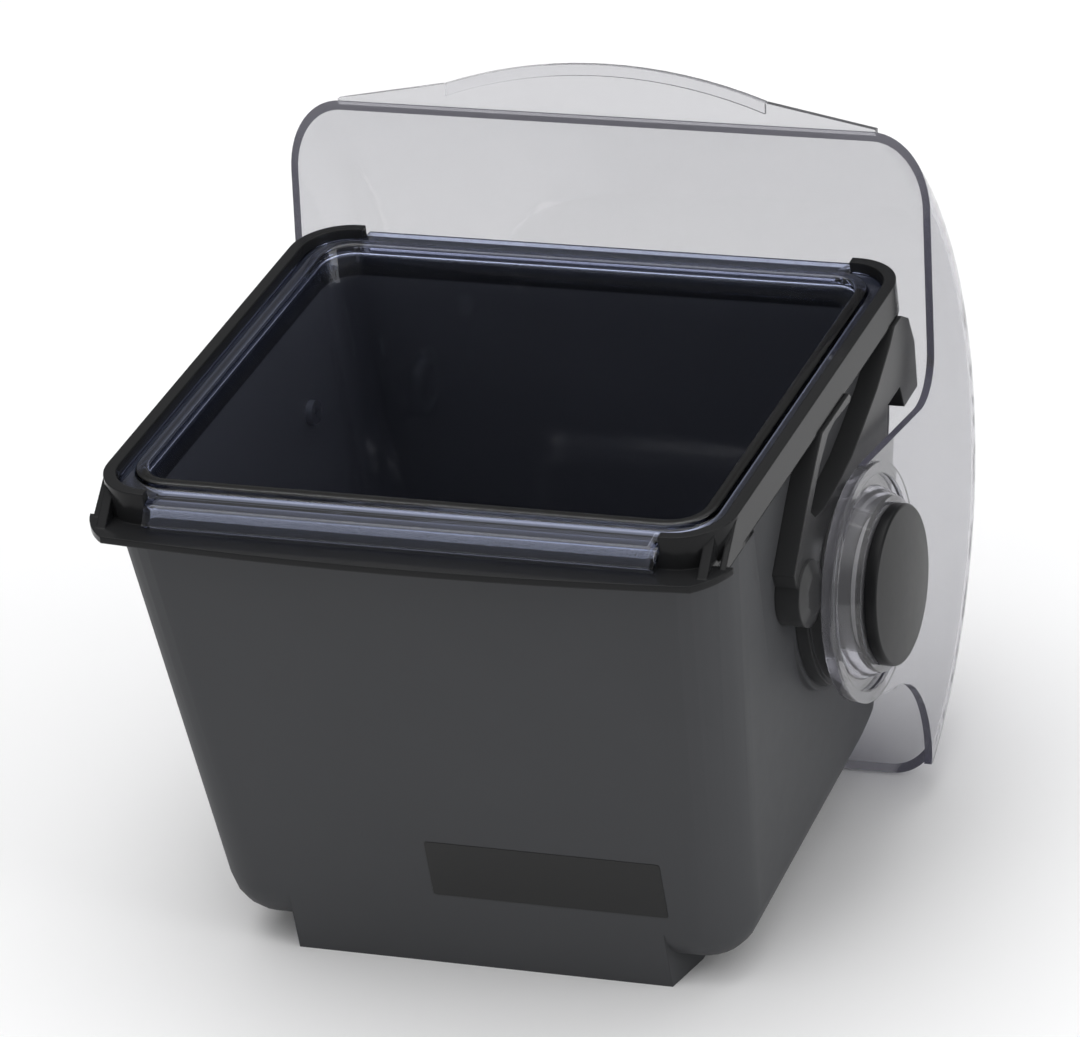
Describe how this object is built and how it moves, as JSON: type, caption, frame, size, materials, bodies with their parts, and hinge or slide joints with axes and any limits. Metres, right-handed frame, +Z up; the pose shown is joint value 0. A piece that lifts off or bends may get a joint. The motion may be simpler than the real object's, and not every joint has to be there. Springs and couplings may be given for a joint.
{
  "type": "garnish tray",
  "caption": "Countertop garnish tray: a footed bucket with a lift-out clear insert and a clear dome lid that swings over it on two side pivots.",
  "frame": {"origin": "middle of the foot's underside at the centre plane, on the round pad of the ribs; the table is z = 0", "axes": "+X to the right seen from the front lip, +Y to the rear where the open dome hangs, +Z up"},
  "size_m": [0.1962, 0.1902, 0.1825],
  "materials": {
    "bucket_plastic": "fine matte charcoal with a glossier rim band",
    "bracket_plastic": "semi-gloss black",
    "cap_plastic": "satin charcoal",
    "insert_clear": "clear with a faint blue-violet tint",
    "dome_clear": "clear, polished, grey-violet at the edges",
    "washer_plastic": "natural white",
    "steel": "plain"
  },
  "bodies": {
    "base": {"base_body": "bucket_plastic", "bracket_right": "bracket_plastic", "bracket_left": "bracket_plastic", "pivot_cap_right": "cap_plastic", "pivot_cap_left": "cap_plastic", "friction_washer_right": "washer_plastic", "friction_washer_left": "washer_plastic", "pivot_retainer_right": "steel", "pivot_retainer_left": "steel", "bracket_screws": "steel"},
    "dome": {"dome_lid": "dome_clear"},
    "insert": {"insert_tray": "insert_clear"}
  },
  "joints": [
    {"name": "dome_hinge", "type": "hinge", "parent": "base", "child": "dome", "pos_m": [0, 0.0071, 0.0816], "axis": [1, 0, 0], "range_deg": [0, 104.5]},
    {"name": "insert_lift", "type": "slide", "parent": "base", "child": "insert", "axis": [0, 0, 1], "range_m": [0, 0.003]}
  ]
}
